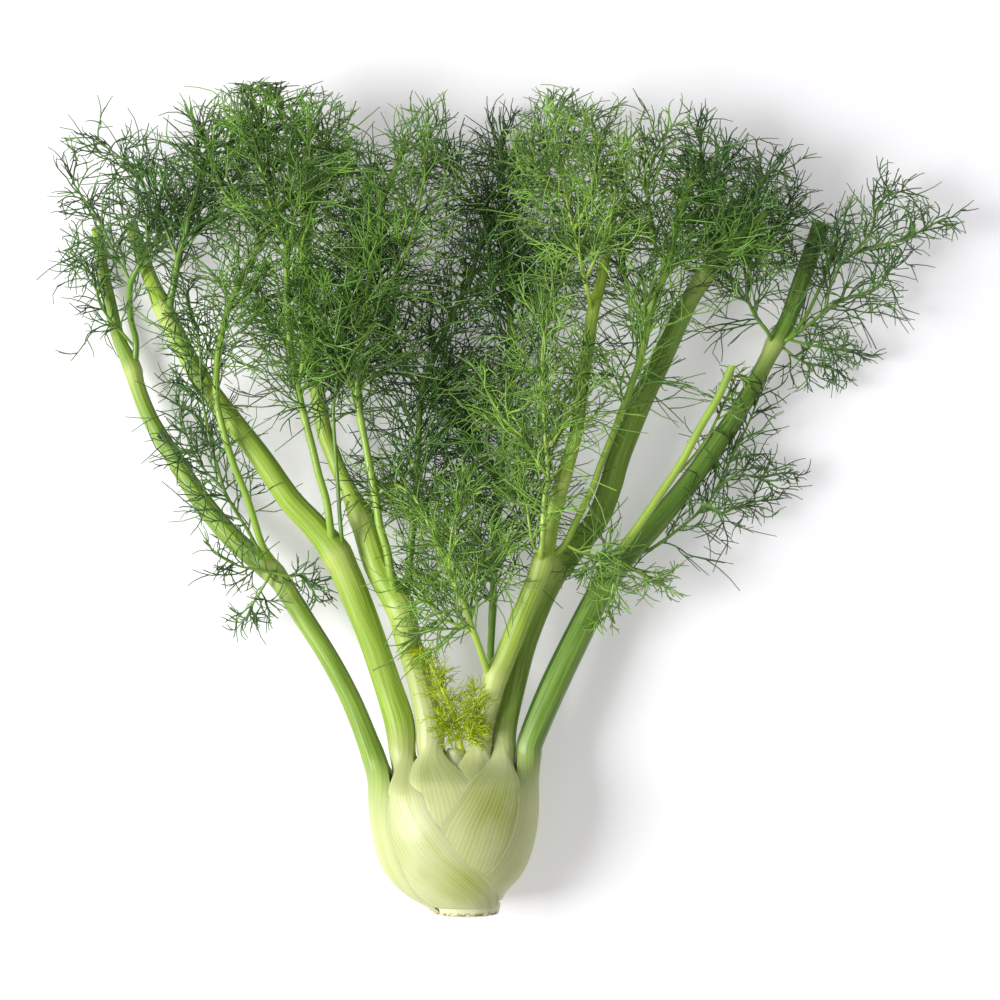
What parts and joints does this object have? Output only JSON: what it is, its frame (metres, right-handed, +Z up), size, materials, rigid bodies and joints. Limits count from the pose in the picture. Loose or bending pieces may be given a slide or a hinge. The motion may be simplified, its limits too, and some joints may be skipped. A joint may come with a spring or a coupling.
{
  "type": "fennel bulb with stalks and leaves",
  "caption": "Fennel bulb lying on its broad side: nested pale leaf bases round a trimmed root end, a fan of ribbed green stalks and feathery thread-like leaves.",
  "frame": {"origin": "middle of the small flat spot under the bulb, on the surface that the plant lies on", "axes": "+Y along the bulb from its root end towards the stalks, +X to the right as seen from above, +Z up"},
  "size_m": [0.5134, 0.4609, 0.0786],
  "materials": {
    "leaf_outer_left": "satin",
    "leaf_second_left": "satin",
    "leaf_outer_right": "satin",
    "leaf_second_right": "satin",
    "leaf_inner_left": "satin",
    "leaf_inner_right": "satin",
    "root_end_and_heart": "satin",
    "frond_dark": "matte",
    "frond_green": "matte",
    "frond_bright": "matte",
    "young_leaves": "matte"
  },
  "bodies": {
    "root": {"leaf_outer_left": "leaf_outer_left", "leaf_second_left": "leaf_second_left", "leaf_outer_right": "leaf_outer_right", "leaf_second_right": "leaf_second_right", "leaf_inner_left": "leaf_inner_left", "leaf_inner_right": "leaf_inner_right", "root_end_and_heart": "root_end_and_heart", "frond_outer_left_tip": "frond_dark", "frond_outer_left_long": "frond_green", "frond_outer_left_low": "frond_dark", "frond_outer_left_node": "frond_dark", "frond_second_left_tip": "frond_dark", "frond_second_left_front": "frond_green", "frond_second_left_side": "frond_dark", "frond_inner_left_front": "frond_green", "frond_inner_left_back": "frond_dark", "frond_centre_back": "frond_dark", "frond_inner_right_low": "frond_bright", "frond_inner_right_front": "frond_bright", "frond_inner_right_top": "frond_bright", "frond_inner_right_side": "frond_green", "frond_second_right": "frond_dark", "frond_outer_right_tip": "frond_dark", "frond_outer_right_inner": "frond_dark", "frond_outer_right_cut": "frond_bright", "frond_outer_right_side": "frond_dark", "young_leaves": "young_leaves"}
  },
  "joints": []
}
